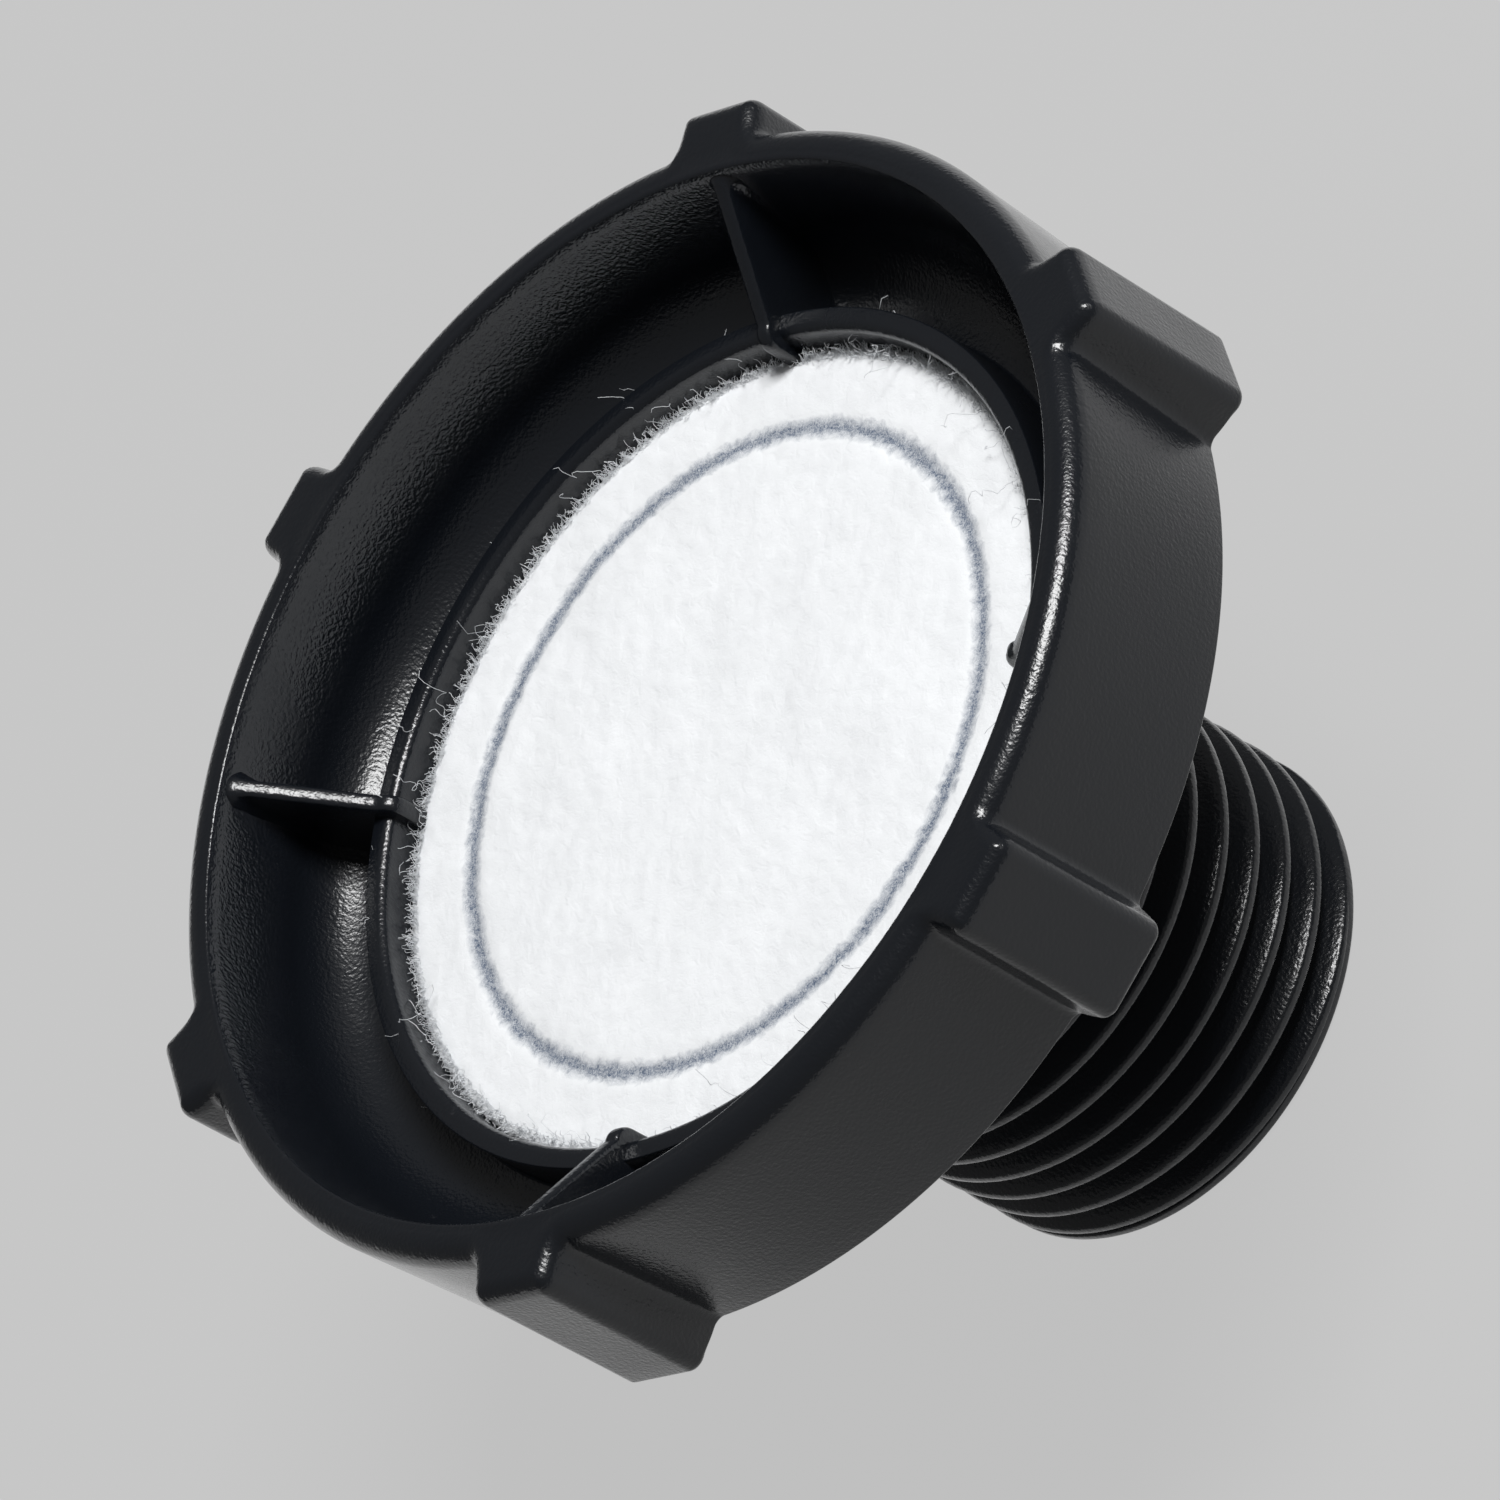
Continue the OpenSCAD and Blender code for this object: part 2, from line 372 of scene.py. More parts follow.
RIBS = 4
FIRST_RIB_DEG = 30.0
RIB_T = 0.72
RIB_EDGE = 0.22
NOSE_R = 16.45
NOSE_ROUND = 0.75
NOSE_DEPTH = 4.1


def swell(gap, width, size):
    """Extra half thickness of a rib at a gap from the wall that it grows out of."""
    return size * max(1 - gap / width, 0) ** 2


def rib_mesh():
    """One rib along +X: sections from the top edge down, thicker where it meets the cup."""
    floor_z = rim_z - FLOOR_DEPTH
    nose_r = NOSE_R + NOSE_ROUND
    nose_z = rim_z - NOSE_DEPTH - NOSE_ROUND
    path = [(MOUTH_R + 0.5, rim_z - 0.35)]
    path += [(MOUTH_R - 0.1, rim_z - 0.38)]
    path += straight((MOUTH_R - 0.1, rim_z - 0.38), (nose_r, nose_z + NOSE_ROUND), 26)
    path += arc(nose_r, nose_z, NOSE_ROUND, 90, 180, 10)
    path += straight((NOSE_R, nose_z), (NOSE_R, felt_z - 0.4), 5)
    path = np.array(path + [(NOSE_R, felt_z - 0.4)])
    foot = np.stack(
        [np.linspace(MOUTH_R + 0.5, SEAT_R + 0.3, len(path)), np.full(len(path), floor_z - 0.3)],
        axis=1,
    )
    edge_depths = [0.0, 0.03, 0.08, 0.14, 0.22, 0.5]
    deep_steps = 8
    sections = []
    for top, low in zip(path, foot):
        reach = max(np.linalg.norm(low - top), 1e-6)
        shares = [min(d / reach, 1.0) for d in edge_depths]
        deep_start = min(edge_depths[-1] / reach, 0.9)
        shares += list(np.linspace(deep_start, 1.0, deep_steps + 1)[1:])
        half = []
        for s in shares:
            r, z = top + (low - top) * s
            d = s * reach
            edge = RIB_EDGE - math.sqrt(max(RIB_EDGE**2 - max(RIB_EDGE - d, 0) ** 2, 0))
            wall_gap = max(MOUTH_R - 0.1 - r, 0)
            floor_gap = max(z - floor_z, 0)
            collar_gap = abs(r - COLLAR_R) if z < rim_z - COLLAR_DEPTH - 0.4 else 9.0
            flare = swell(wall_gap, 0.6, 0.45) + swell(floor_gap, 0.5, 0.35)
            flare += swell(collar_gap, 0.35, 0.2) * (r > COLLAR_R)
            flare *= min(d / edge_depths[-1], 1.0)
            half.append((r, RIB_T / 2 - edge + flare + 0.02 * d, z))
        crest = [(r, 0.0, z) for r, _, z in half[:1]]
        left = [(r, y, z) for r, y, z in half]
        right = [(r, -y, z) for r, y, z in half]
        sections.append(left[::-1] + crest + right)
    rows, width = len(sections), len(sections[0])
    vertices = [tuple(c * MM for c in p) for section in sections for p in section]
    faces = []
    for i in range(rows - 1):
        for j in range(width):
            k = (j + 1) % width
            faces.append((i * width + j, (i + 1) * width + j, (i + 1) * width + k, i * width + k))
    faces.append(tuple(range(width)))
    faces.append(tuple(reversed(range((rows - 1) * width, rows * width))))
    made = bpy.data.meshes.new("rib")
    made.from_pydata(vertices, [], faces)
    made.materials.append(black_nylon)
    return made


def new_tree(name, inputs):
    """A Geometry Nodes tree with its named inputs and one geometry output."""
    tree = bpy.data.node_groups.new(name, "GeometryNodeTree")
    tree.interface.new_socket("Geometry", in_out="INPUT", socket_type="NodeSocketGeometry")
    for label, kind in inputs.items():
        tree.interface.new_socket(label, in_out="INPUT", socket_type=kind)
    tree.interface.new_socket("Geometry", in_out="OUTPUT", socket_type="NodeSocketGeometry")
    return tree, add(tree, "NodeGroupInput"), add(tree, "NodeGroupOutput")


def grown(name, base, tree, values):
    """Runs a tree on a base mesh and keeps the result as a plain object."""
    seed = bpy.data.objects.new(name + "_base", base)
    scene.collection.objects.link(seed)
    modifier = seed.modifiers.new("grow", "NODES")
    modifier.node_group = tree
    for item in tree.interface.items_tree:
        if item.in_out == "INPUT" and item.name in values:
            modifier[item.identifier] = values[item.name]
    evaluated = seed.evaluated_get(bpy.context.evaluated_depsgraph_get())
    made = bpy.data.meshes.new_from_object(evaluated)
    made.name = name
    seed.modifiers.remove(modifier)
    bpy.data.objects.remove(seed)
    piece = bpy.data.objects.new(name, made)
    scene.collection.objects.link(piece)
    return piece


def rib_tree():
    """Copies one rib round the axis: Count of them, the first at First angle."""
    tree, start, end = new_tree(
        "ribs_round_axis",
        {"Count": "NodeSocketInt", "First angle": "NodeSocketFloat", "Material": "NodeSocketMaterial"},
    )
    points = add(tree, "GeometryNodePoints", {"Count": start.outputs["Count"]})
    index = add(tree, "GeometryNodeInputIndex")
    step = add(
        tree, "ShaderNodeMath", {0: math.tau, 1: start.outputs["Count"]}, operation="DIVIDE"
    )
    angle = add(
        tree,
        "ShaderNodeMath",
        {0: index.outputs["Index"], 1: step.outputs[0], 2: start.outputs["First angle"]},
        operation="MULTIPLY_ADD",
    )
    turned = add(tree, "ShaderNodeCombineXYZ", {"Z": angle.outputs[0]})
    copies = add(
        tree,
        "GeometryNodeInstanceOnPoints",
        {
            "Points": points.outputs["Points"],
            "Instance": start.outputs["Geometry"],
            "Rotation": turned.outputs["Vector"],
        },
    )
    real = add(tree, "GeometryNodeRealizeInstances", {"Geometry": copies.outputs["Instances"]})
    finish = add(
        tree,
        "GeometryNodeSetMaterial",
        {"Geometry": real.outputs["Geometry"], "Material": start.outputs["Material"]},
    )
    tree.links.new(finish.outputs["Geometry"], end.inputs["Geometry"])
    return tree


ribs = grown(
    "retaining_ribs",
    rib_mesh(),
    rib_tree(),
    {"Count": RIBS, "First angle": math.radians(FIRST_RIB_DEG), "Material": black_nylon},
)
ribs.data.shade_smooth()
ribs.data.set_sharp_from_angle(angle=math.radians(50))
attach(ribs, "root")
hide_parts("housing")


# Stem. The hollow neck of the same moulding that carries the air in: a tube with a relief
# under the shoulder and a chamfered end. The thread is on it, as a piece of its own.

THREAD_R = mounts["thread"]["dims"]["r_mm"]
THREAD_PITCH = 1.814
THREAD_DEPTH = 1.16
STEM_CHAMFER = 0.5
END_RING_H = 0.6
thread_len = mounts["thread"]["dims"]["length_mm"]
core_r = THREAD_R - THREAD_DEPTH


def stem_rings():
    """Rings of the tube: up the bore, over the hidden top, and down the outside."""
    bore_r, top_z = BORE_R - 0.04, shoulder_z - 1.2
    loop = [(bore_r, 0.15)] + straight((bore_r, 0.15), (bore_r, top_z), 6)
    loop += [(bore_r, top_z), (bore_r + 0.02, top_z + 0.02), (NECK_R - 0.2, top_z + 0.02)]
    loop += [(NECK_R - 0.2, shoulder_z + 0.03), (NECK_R, shoulder_z + 0.03)]
    loop += straight((NECK_R, shoulder_z + 0.03), (NECK_R, thread_len + 0.1), 3)
    loop += arc(NECK_R - 0.1, thread_len + 0.1, 0.1, 0, -90, 3)
    loop += arc(core_r + 0.15, thread_len - 0.15, 0.15, 90, 180, 3)
    loop += straight((core_r, thread_len - 0.15), (core_r, END_RING_H + 0.35), 12)
    loop += [(core_r, END_RING_H + 0.35), (core_r + 0.06, END_RING_H + 0.2)]
    loop += arc(THREAD_R - 0.16, END_RING_H - 0.16, 0.12, 60, 0, 3)
    loop += arc(THREAD_R - 0.24, STEM_CHAMFER - 0.2, 0.2, 0, -35, 3)
    loop += [(THREAD_R - STEM_CHAMFER, 0.03), (THREAD_R - STEM_CHAMFER - 0.05, 0.0)]
    loop += [(bore_r + 0.15, 0.0), (bore_r + 0.04, 0.04)]
    return loop[::-1]


stem_angles = np.radians(np.arange(0, 360, 2.0))
stem = swept_mesh("stem_tube", stem_rings(), stem_angles, black_nylon, sharp_deg=50)
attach(stem, "root")
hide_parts("housing")


# Pipe thread. A right-handed ridge of the 55 degree pipe form wound round the stem, with a
# narrow rounded crest, cut to the chamfer at the stem's end and running out at the relief.

CREST_HALF = 0.2
THREAD_START_Z = -0.2
THREAD_START_DEG = 177.4
FLANK_DEG = 27.5


def ridge_outline():
    """Section of the ridge: -x is the height above the stem's core, y runs along the axis."""
    slope = math.tan(math.radians(FLANK_DEG))
    flank = [0.0, 0.3, 0.7, THREAD_DEPTH - 0.12]
    half = [(-0.1, CREST_HALF + (THREAD_DEPTH + 0.1) * slope)]
    half += [(h, CREST_HALF + (THREAD_DEPTH - h) * slope) for h in flank]
    half += [(THREAD_DEPTH - 0.06, CREST_HALF), (THREAD_DEPTH - 0.02, CREST_HALF - 0.06)]
    half += [(THREAD_DEPTH, CREST_HALF / 3)]
    return [(-x, -y) for x, y in half] + [(-x, y) for x, y in reversed(half)]


def thread_tree():
    """Sweeps the base outline along a helix and cuts it back to the end's chamfer."""
    tree, start, end = new_tree(
        "pipe_thread",
        {
            "Core radius": "NodeSocketFloat",
            "Crest radius": "NodeSocketFloat",
            "Pitch": "NodeSocketFloat",
            "Turns": "NodeSocketFloat",
            "Start": "NodeSocketFloat",
            "Chamfer": "NodeSocketFloat",
            "Material": "NodeSocketMaterial",
        },
    )
    steps_per_turn = 96
    height = add(
        tree,
        "ShaderNodeMath",
        {0: start.outputs["Pitch"], 1: start.outputs["Turns"]},
        operation="MULTIPLY",
    )
    helix = add(
        tree,
        "GeometryNodeCurveSpiral",
        {
            "Resolution": steps_per_turn,
            "Rotations": start.outputs["Turns"],
            "Start Radius": start.outputs["Core radius"],
            "End Radius": start.outputs["Core radius"],
            "Height": height.outputs[0],
        },
    )
    lifted = add(tree, "ShaderNodeCombineXYZ", {"Z": start.outputs["Start"]})
    placed = add(
        tree,
        "GeometryNodeSetPosition",
        {"Geometry": helix.outputs["Curve"], "Offset": lifted.outputs["Vector"]},
    )
    level = add(
        tree, "GeometryNodeSetCurveNormal", {"Curve": placed.outputs["Geometry"]}, mode="Z_UP"
    )
    along = add(tree, "GeometryNodeSplineParameter")
    run_in = mapped(tree, along.outputs["Factor"], (0.0, 0.03), (0.02, 1.0))
    run_out = mapped(tree, along.outputs["Factor"], (0.95, 1.0), (1.0, 0.02))
    faded = add(
        tree,
        "ShaderNodeMath",
        {0: run_in.outputs["Result"], 1: run_out.outputs["Result"]},
        operation="MINIMUM",
    )
    section = add(tree, "GeometryNodeMeshToCurve", {"Mesh": start.outputs["Geometry"]})
    swept = add(
        tree,
        "GeometryNodeCurveToMesh",
        {
            "Curve": level.outputs["Curve"],
            "Profile Curve": section.outputs["Curve"],
            "Scale": faded.outputs[0],
            "Fill Caps": True,
        },
    )
    here = add(tree, "GeometryNodeInputPosition")
    part = add(tree, "ShaderNodeSeparateXYZ", {"Vector": here.outputs["Position"]})
    flat = add(tree, "ShaderNodeCombineXYZ", {"X": part.outputs["X"], "Y": part.outputs["Y"]})
    radius = add(tree, "ShaderNodeVectorMath", {0: flat.outputs["Vector"]}, operation="LENGTH")
    base_r = add(
        tree,
        "ShaderNodeMath",
        {0: start.outputs["Crest radius"], 1: start.outputs["Chamfer"]},
        operation="SUBTRACT",
    )
    cone = add(
        tree, "ShaderNodeMath", {0: base_r.outputs[0], 1: part.outputs["Z"]}, operation="ADD"
    )
    ratio = add(
        tree, "ShaderNodeMath", {0: cone.outputs[0], 1: radius.outputs["Value"]}, operation="DIVIDE"
    )
    cut = add(tree, "ShaderNodeMath", {0: ratio.outputs[0], 1: 1.0}, operation="MINIMUM")
    shrunk = add(
        tree,
        "ShaderNodeVectorMath",
        {0: flat.outputs["Vector"], "Scale": cut.outputs[0]},
        operation="SCALE",
    )
    low = add(tree, "ShaderNodeMath", {0: part.outputs["Z"], 1: 0.06 * MM}, operation="MAXIMUM")
    raised = add(tree, "ShaderNodeCombineXYZ", {"Z": low.outputs[0]})
    total = add(
        tree,
        "ShaderNodeVectorMath",
        {0: shrunk.outputs["Vector"], 1: raised.outputs["Vector"]},
        operation="ADD",
    )
    trimmed = add(
        tree,
        "GeometryNodeSetPosition",
        {"Geometry": swept.outputs["Mesh"], "Position": total.outputs["Vector"]},
    )
    real = add(tree, "GeometryNodeRealizeInstances", {"Geometry": trimmed.outputs["Geometry"]})
    finish = add(
        tree,
        "GeometryNodeSetMaterial",
        {"Geometry": real.outputs["Geometry"], "Material": start.outputs["Material"]},
    )
    tree.links.new(finish.outputs["Geometry"], end.inputs["Geometry"])
    return tree


def outline_mesh(name, points):
    """A closed loop of edges in the XY plane."""
    made = bpy.data.meshes.new(name)
    count = len(points)
    vertices = [(x * MM, y * MM, 0.0) for x, y in points]
    made.from_pydata(vertices, [(i, (i + 1) % count) for i in range(count)], [])
    return made


thread_turns = (thread_len - 0.4 - THREAD_START_Z) / THREAD_PITCH
thread = grown(
    "stem_thread",
    outline_mesh("ridge", ridge_outline()),
    thread_tree(),
    {
        "Core radius": core_r * MM,
        "Crest radius": THREAD_R * MM,
        "Pitch": THREAD_PITCH * MM,
        "Turns": thread_turns,
        "Start": THREAD_START_Z * MM,
        "Chamfer": STEM_CHAMFER * MM,
        "Material": black_nylon,
    },
)
thread.data.transform(Matrix.Rotation(math.radians(THREAD_START_DEG), 4, "Z"))
thread.data.shade_smooth()
thread.data.set_sharp_from_angle(angle=math.radians(40))
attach(thread, "root")
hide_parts("housing")


# Front felt. A disc punched from dense white needle felt and pressed behind the ribs. Its cut
# edge is ragged, and the press has left a narrow ring on its face, stained grey blue.

FELT_R = 16.88
RING_R = 13.43
RING_HALF = 0.45
RING_DEPTH = 0.12


def needle_felt(name, colours, stain, ring_r):
    """White needle felt: matted fibres with no direction, so a soft, slightly mottled face
    with a fine fuzz, no gloss at all, and a speckled grey-blue line where it was pressed."""
    fibre_mm, mat_mm, cloud_mm = 0.12, 0.55, 4.0
    made, tree, output = new_material(name)
    place = add(tree, "ShaderNodeTexCoord").outputs["Object"]
    fibre = add(
        tree,
        "ShaderNodeTexNoise",
        {
            "Vector": place,
            "Scale": 1 / (fibre_mm * MM),
            "Detail": 4.0,
            "Roughness": 0.65,
            "Distortion": 1.5,
        },
    )
    mat = add(
        tree,
        "ShaderNodeTexNoise",
        {"Vector": place, "Scale": 1 / (mat_mm * MM), "Detail": 3.0, "Distortion": 0.8},
    )
    cloud = add(
        tree, "ShaderNodeTexNoise", {"Vector": place, "Scale": 1 / (cloud_mm * MM), "Detail": 2.0}
    )
    part = add(tree, "ShaderNodeSeparateXYZ", {"Vector": place})
    flat = add(tree, "ShaderNodeCombineXYZ", {"X": part.outputs["X"], "Y": part.outputs["Y"]})
    radius = add(tree, "ShaderNodeVectorMath", {0: flat.outputs["Vector"]}, operation="LENGTH")
    drift = mapped(
        tree, mat.outputs["Fac"], (0.25, 0.75), ((ring_r - 0.16) * MM, (ring_r + 0.16) * MM)
    )
    off = add(
        tree,
        "ShaderNodeMath",
        {0: radius.outputs["Value"], 1: drift.outputs["Result"]},
        operation="SUBTRACT",
    )
    gap = add(tree, "ShaderNodeMath", {0: off.outputs[0]}, operation="ABSOLUTE")
    line = mapped(tree, gap.outputs[0], (0.1 * MM, (RING_HALF + 0.1) * MM), (1.0, 0.0))
    speckle = mapped(tree, fibre.outputs["Fac"], (0.38, 0.66), (1.0, 0.4))
    stained = add(
        tree,
        "ShaderNodeMath",
        {0: line.outputs["Result"], 1: speckle.outputs["Result"]},
        operation="MULTIPLY",
    )
    mottled = mapped(tree, cloud.outputs["Fac"], (0.3, 0.7), (0.0, 1.0))
    body = add(
        tree,
        "ShaderNodeMix",
        {"Factor": mottled.outputs["Result"], 6: linear(colours[0]), 7: linear(colours[1])},
        data_type="RGBA",
    )
    shade = add(
        tree,
        "ShaderNodeMix",
        {"Factor": stained.outputs[0], 6: body.outputs[2], 7: linear(stain)},
        data_type="RGBA",
    )
    height = add(
        tree,
        "ShaderNodeMath",
        {0: mat.outputs["Fac"], 1: 1.5, 2: fibre.outputs["Fac"]},
        operation="MULTIPLY_ADD",
    )
    bump = add(
        tree,
        "ShaderNodeBump",
        {"Height": height.outputs[0], "Strength": 0.5, "Distance": 0.05 * MM},
    )
    shader = add(
        tree,
        "ShaderNodeBsdfPrincipled",
        {
            "Base Color": shade.outputs[2],
            "Roughness": 1.0,
            "Specular IOR Level": 0.1,
            "Sheen Weight": 0.15,
            "Sheen Roughness": 0.6,
            "Normal": bump.outputs["Normal"],
        },
    )
    tree.links.new(shader.outputs["BSDF"], output.inputs["Surface"])
    return made


white_felt = needle_felt("white_needle_felt", ("#f0f2f4", "#f6f8fa"), "#4c5c74", RING_R)


def felt_disc(name, low_z, high_z, radius, ring_r, material):
    """A felt disc: a lumpy face, a ragged cut edge and, where given, a pressed ring. The face
    is a square grid drawn out to a circle, so it has no pole."""
    cells = 168

    def rough(x, y, z, size):
        return noise.noise(Vector((x, y, z)) / size)

    points, index = [], {}
    for i in range(cells + 1):
        for j in range(cells + 1):
            u, v = 2 * i / cells - 1, 2 * j / cells - 1
            r = max(abs(u), abs(v))
            a = 0.0
            if r > 0:
                square = math.atan2(v, u)
                side = round(square / (math.pi / 2)) * math.pi / 2
                a = side + math.tan(square - side) * math.pi / 4
            r *= radius
            x, y = r * math.cos(a), r * math.sin(a)
            lump = 0.06 * rough(x, y, 3.0, 2.6) + 0.035 * rough(x, y, 9.0, 0.55)
            pressed = RING_DEPTH * math.exp(-(((r - ring_r) / RING_HALF) ** 2)) if ring_r else 0
            worn = 0.25 * max((r - radius + 0.9) / 0.9, 0) ** 2
            index[i, j] = len(points)
            points.append((x, y, high_z - 0.1 + lump - pressed - worn))
    faces = [
        (index[i, j], index[i + 1, j], index[i + 1, j + 1], index[i, j + 1])
        for i in range(cells)
        for j in range(cells)
    ]
    run = range(cells)
    rim = [index[i, 0] for i in run] + [index[cells, j] for j in run]
    rim += [index[cells - i, cells] for i in run] + [index[0, cells - j] for j in run]
    count = len(rim)
    above = rim
    for z in list(np.linspace(high_z - 0.5, low_z + 0.25, 5)) + [low_z + 0.08]:
        below = []
        for k in rim:
            x, y = points[k][0] / radius, points[k][1] / radius
            r = radius - 0.02 + 0.14 * rough(x * radius, y * radius, z, 0.35)
            if z < low_z + 0.2:
                r -= 0.3
            below.append(len(points))
            points.append((x * r, y * r, z))
        for k in range(count):
            m = (k + 1) % count
            faces.append((above[k], below[k], below[m], above[m]))
        above = below
    centre = len(points)
    points.append((0.0, 0.0, low_z + 0.08))
    faces += [(above[(k + 1) % count], above[k], centre) for k in range(count)]
    made = bpy.data.meshes.new(name)
    made.from_pydata([tuple(c * MM for c in p) for p in points], [], faces)
    made.materials.append(material)
    made.shade_smooth()
    piece = bpy.data.objects.new(name, made)
    scene.collection.objects.link(piece)
    return piece


felt = felt_disc("front_felt_disc", felt_low.z / MM, felt_z, FELT_R, RING_R, white_felt)
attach(felt, "root")
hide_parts("front_felt")


# Felt fibres. Loose ends of the same fibre stand out of the cut edge, and a few long ones
# have pulled out as curls over the collar. They are drawn thicker than real ones to show.

FIBRE_R = 0.012


def fibre_tree():
    """Stands curled fibres on the base mesh: Density of them, each about Length long."""
    tree, start, end = new_tree(
        "fibres",
        {
            "Density": "NodeSocketFloat",
            "Length": "NodeSocketFloat",
            "Curl": "NodeSocketFloat",
            "Curl size": "NodeSocketFloat",
            "Radius": "NodeSocketFloat",
            "Seed": "NodeSocketInt",
            "Material": "NodeSocketMaterial",
        },
    )
    roots = add(
        tree,
        "GeometryNodeDistributePointsOnFaces",
        {
            "Mesh": start.outputs["Geometry"],
            "Density": start.outputs["Density"],
            "Seed": start.outputs["Seed"],
        },
    )
    tip = add(tree, "ShaderNodeCombineXYZ", {"Z": start.outputs["Length"]})
    strand = add(tree, "GeometryNodeCurvePrimitiveLine", {"End": tip.outputs["Vector"]})
    fine = add(
        tree, "GeometryNodeResampleCurve", {"Curve": strand.outputs["Curve"], "Count": 17}
    )
    tilt = add(
        tree,
        "FunctionNodeRandomValue",
        {0: (-0.9, -0.9, 0.0), 1: (0.9, 0.9, math.tau), "Seed": 11},
        data_type="FLOAT_VECTOR",
    )
    size = add(
        tree, "FunctionNodeRandomValue", {2: 0.35, 3: 1.25, "Seed": 5}, data_type="FLOAT"
    )
    leaning = add(
        tree,
        "FunctionNodeRotateRotation",
        {"Rotation": roots.outputs["Rotation"], "Rotate By": tilt.outputs[0]},
        rotation_space="LOCAL",
    )
    planted = add(
        tree,
        "GeometryNodeInstanceOnPoints",
        {
            "Points": roots.outputs["Points"],
            "Instance": fine.outputs["Curve"],
            "Rotation": leaning.outputs["Rotation"],
            "Scale": size.outputs[1],
        },
    )
    real = add(tree, "GeometryNodeRealizeInstances", {"Geometry": planted.outputs["Instances"]})
    here = add(tree, "GeometryNodeInputPosition")
    inverse = add(
        tree, "ShaderNodeMath", {0: 1.0, 1: start.outputs["Curl size"]}, operation="DIVIDE"
    )
    wander = add(
        tree,
        "ShaderNodeTexNoise",
        {"Vector": here.outputs["Position"], "Scale": inverse.outputs[0], "Detail": 1.0},
    )
    centred = add(
        tree,
        "ShaderNodeVectorMath",
        {0: wander.outputs["Color"], 1: (0.5, 0.5, 0.5)},
        operation="SUBTRACT",
    )
    along = add(tree, "GeometryNodeSplineParameter")
    reach = add(
        tree,
        "ShaderNodeMath",
        {0: along.outputs["Factor"], 1: start.outputs["Curl"]},
        operation="MULTIPLY",
    )
    bend = add(
        tree,
        "ShaderNodeVectorMath",
        {0: centred.outputs["Vector"], "Scale": reach.outputs[0]},
        operation="SCALE",
    )
    curled = add(
        tree,
        "GeometryNodeSetPosition",
        {"Geometry": real.outputs["Geometry"], "Offset": bend.outputs["Vector"]},
    )
    section = add(
        tree,
        "GeometryNodeCurvePrimitiveCircle",
        {"Resolution": 3, "Radius": start.outputs["Radius"]},
    )
    tube = add(
        tree,
        "GeometryNodeCurveToMesh",
        {
            "Curve": curled.outputs["Geometry"],
            "Profile Curve": section.outputs["Curve"],
            "Fill Caps": True,
        },
    )
    finish = add(
        tree,
        "GeometryNodeSetMaterial",
        {"Geometry": tube.outputs["Mesh"], "Material": start.outputs["Material"]},
    )
    tree.links.new(finish.outputs["Geometry"], end.inputs["Geometry"])
    return tree


def edge_band(name, r_in, r_out, z, rise):
    """A conical band round the felt's edge for the fibres to stand on."""
    count = 240
    angles = np.radians(np.arange(count) * 360 / count)
    inner = [(r_in * math.cos(a) * MM, r_in * math.sin(a) * MM, z * MM) for a in angles]
    outer = [(r_out * math.cos(a) * MM, r_out * math.sin(a) * MM, (z + rise) * MM) for a in angles]
    faces = [(j, j + count, (j + 1) % count + count, (j + 1) % count) for j in range(count)]
    made = bpy.data.meshes.new(name)
    made.from_pydata(inner + outer, [], faces)
    return made


# White felt fibre: single polyester fibres, a little whiter or greyer from one to the next.
FIBRE_TINT_MM = 0.6
white_fibre, fibre_nodes, fibre_output = new_material("white_felt_fibre")
fibre_place = add(fibre_nodes, "ShaderNodeTexCoord").outputs["Object"]
fibre_tint = add(
    fibre_nodes,
    "ShaderNodeTexNoise",
    {"Vector": fibre_place, "Scale": 1 / (FIBRE_TINT_MM * MM), "Detail": 1.0},
)
fibre_colour = add(
    fibre_nodes,
    "ShaderNodeMix",
    {"Factor": fibre_tint.outputs["Fac"], 6: linear("#c9ccd0"), 7: linear("#f6f8fa")},
    data_type="RGBA",
)
fibre_shader = add(
    fibre_nodes,
    "ShaderNodeBsdfPrincipled",
    {"Base Color": fibre_colour.outputs[2], "Roughness": 0.7, "Specular IOR Level": 0.3},
)
fibre_nodes.links.new(fibre_shader.outputs["BSDF"], fibre_output.inputs["Surface"])

fibres = fibre_tree()
fuzz = grown(
    "felt_edge_fuzz",
    edge_band("fuzz_band", FELT_R - 0.55, FELT_R - 0.05, felt_z - 0.12, -0.25),
    fibres,
    {
        "Density": 80.0 / MM**2,
        "Length": 0.5 * MM,
        "Curl": 1.0 * MM,
        "Curl size": 0.4 * MM,
        "Radius": FIBRE_R * MM,
        "Seed": 3,
        "Material": white_fibre,
    },
)
strays = grown(
    "felt_stray_fibres",
    edge_band("stray_band", FELT_R - 0.3, FELT_R + 0.1, felt_z - 0.05, 0.0),
    fibres,
    {
        "Density": 1.8 / MM**2,
        "Length": 2.0 * MM,
        "Curl": 3.6 * MM,
        "Curl size": 0.8 * MM,
        "Radius": FIBRE_R * MM,
        "Seed": 8,
        "Material": white_fibre,
    },
)
for piece in (fuzz, strays):
    piece.data.shade_smooth()
    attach(piece, "root")
    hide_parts("front_felt")


# Rear felt. A coarser, more open disc behind the white one that spreads the air over it. Only
# its back shows, through the holes of the grid.

rear_low, rear_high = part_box("rear_felt")
grey_felt = needle_felt("grey_open_felt", ("#b9bab6", "#cdcec9"), "#b0b1ad", 0.0)
rear = felt_disc(
    "rear_felt_disc", rear_low.z / MM, rear_high.z / MM - 0.05, FELT_R - 0.05, 0.0, grey_felt
)
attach(rear, "root")
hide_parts("rear_felt")


# Support grid. A drilled disc of dark plastic that carries the felt over the plenum. Its shape
# is the CAD node's own.

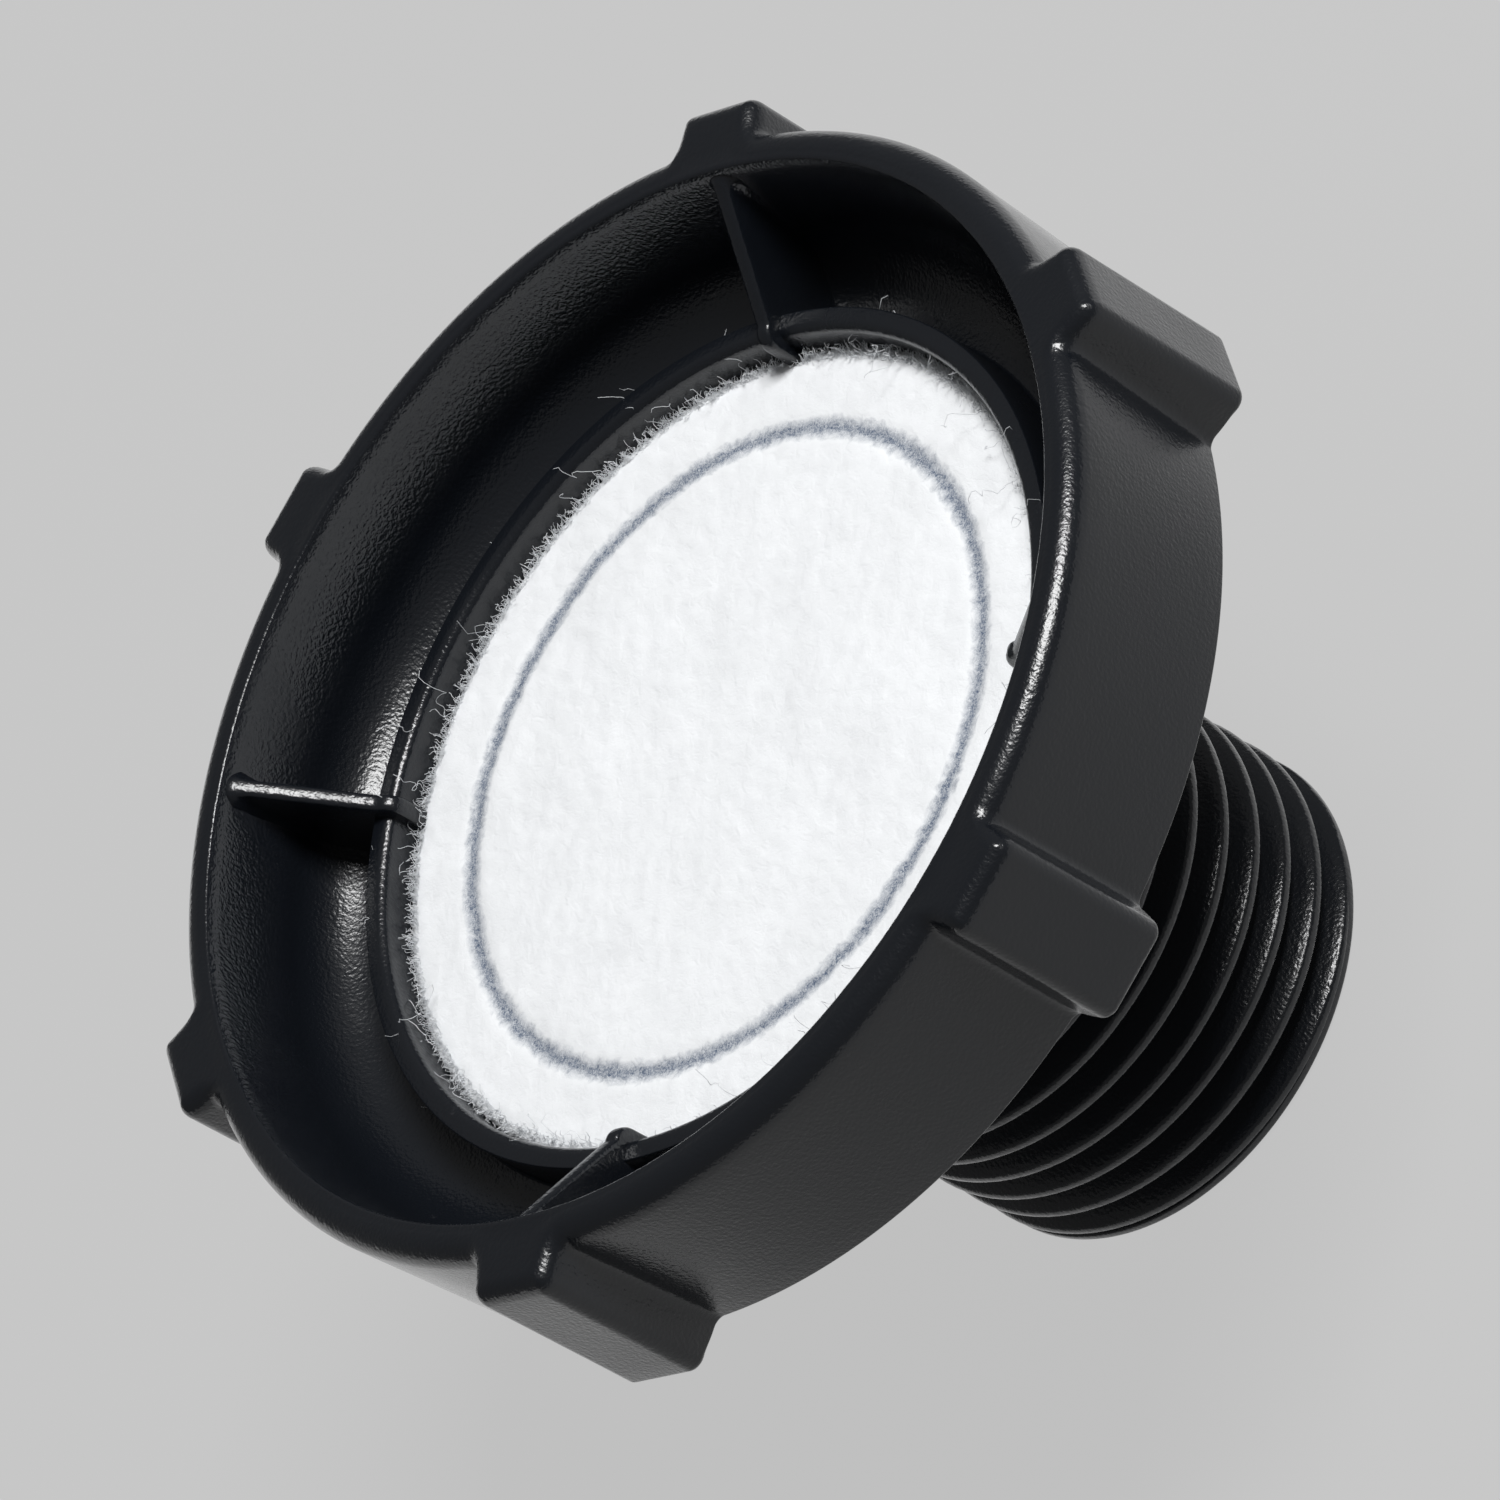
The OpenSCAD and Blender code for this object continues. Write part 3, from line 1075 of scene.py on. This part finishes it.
grid_plastic = moulded_nylon("dark_grid_plastic", "#2c2e31", "#4c4e50", 0.42)
grid_object = frame["nodes"]["support_grid"]
grid_object.data.materials.clear()
grid_object.data.materials.append(grid_plastic)


# Floor. A plain pale table that glows evenly, as a light table does, and takes hardly any
# shadow. Where it lies behind the part it is brighter in the part's gloss.

FLOOR_HALF = 6.0
floor_mesh = bpy.data.meshes.new("floor")
floor_mesh.from_pydata(
    [(-FLOOR_HALF, -FLOOR_HALF, 0), (FLOOR_HALF, -FLOOR_HALF, 0),
     (FLOOR_HALF, FLOOR_HALF, 0), (-FLOOR_HALF, FLOOR_HALF, 0)],
    [],
    [(0, 1, 2, 3)],
)
floor = bpy.data.objects.new("floor", floor_mesh)
scene.collection.objects.link(floor)
pale, pale_tree, pale_output = new_material("pale_table")
PALE = linear("#c8c8c8")
ray = add(pale_tree, "ShaderNodeLightPath")
spot = add(pale_tree, "ShaderNodeTexCoord")
across = add(pale_tree, "ShaderNodeSeparateXYZ", {"Vector": spot.outputs["Object"]})
behind_part = mapped(
    pale_tree, across.outputs["X"], (-0.015, 0.025), (0.9, 0.48),
    interpolation_type="SMOOTHSTEP",
)
strength = add(
    pale_tree,
    "ShaderNodeMix",
    {"Factor": ray.outputs["Is Camera Ray"], 2: behind_part.outputs["Result"], 3: PALE[0] * 0.9},
    data_type="FLOAT",
)
glow = add(
    pale_tree,
    "ShaderNodeEmission",
    {"Color": (1.0, 1.0, 1.0, 1.0), "Strength": strength.outputs[0]},
)
matt = add(pale_tree, "ShaderNodeBsdfDiffuse", {"Color": (0.06, 0.06, 0.06, 1.0)})
table = add(pale_tree, "ShaderNodeAddShader", {0: glow.outputs[0], 1: matt.outputs[0]})
pale_tree.links.new(table.outputs[0], pale_output.inputs["Surface"])
floor_mesh.materials.append(pale)


# Light. One large softbox above the camera, and a dim room.

cup_middle = Vector((0.0, 0.0, 24.0)) * MM
ROOM_LIGHT = 0.15


def softbox(name, right, up, towards, distance, width, height, watts):
    """A rectangular light that faces the part, placed in the camera's own directions."""
    away = (picture_right * right + picture_up * up + towards_camera * towards).normalized()
    data = bpy.data.lights.new(name, "AREA")
    data.shape = "RECTANGLE"
    data.size, data.size_y = width, height
    data.energy = watts
    lamp = bpy.data.objects.new(name, data)
    scene.collection.objects.link(lamp)
    side = picture_up.cross(away).normalized()
    basis = Matrix((side, away.cross(side), away)).transposed().to_4x4()
    lamp.matrix_world = Matrix.Translation(cup_middle + away * distance) @ basis
    return lamp


softbox(
    "key_softbox",
    right=-0.17,
    up=0.70,
    towards=0.68,
    distance=0.6,
    width=0.26,
    height=0.20,
    watts=4.0,
)

room = bpy.data.worlds.new("room")
room.use_nodes = True
room.node_tree.nodes["Background"].inputs["Color"].default_value = (1.0, 1.0, 1.0, 1.0)
room.node_tree.nodes["Background"].inputs["Strength"].default_value = ROOM_LIGHT
scene.world = room
